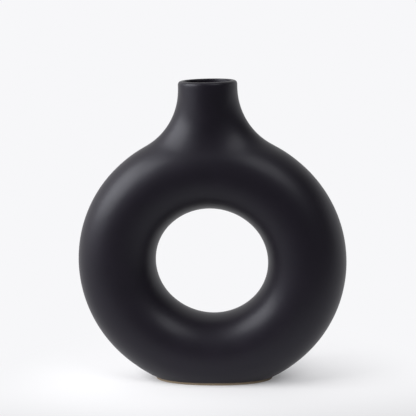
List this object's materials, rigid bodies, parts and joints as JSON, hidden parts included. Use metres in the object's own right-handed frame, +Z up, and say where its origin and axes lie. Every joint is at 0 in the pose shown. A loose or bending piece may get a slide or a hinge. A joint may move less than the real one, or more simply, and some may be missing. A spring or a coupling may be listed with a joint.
{
  "type": "donut vase",
  "caption": "Hollow ring-shaped ceramic vase with a short flared neck above the ring and a flat bare-clay foot, matte black glaze outside and in; holds a few stems.",
  "frame": {"origin": "middle of the foot, on the table", "axes": "+Z up through the neck, +X to the right across the ring, the hole along Y with the front facing -Y"},
  "size_m": [0.18, 0.0522, 0.2011],
  "materials": {
    "stoneware": "unglazed, fine grained",
    "matte_black_glaze": "matte",
    "satin_black_glaze": "satin"
  },
  "bodies": {
    "root": {"clay_body": "stoneware", "outer_glaze": "matte_black_glaze", "liner_glaze": "satin_black_glaze"}
  },
  "joints": []
}
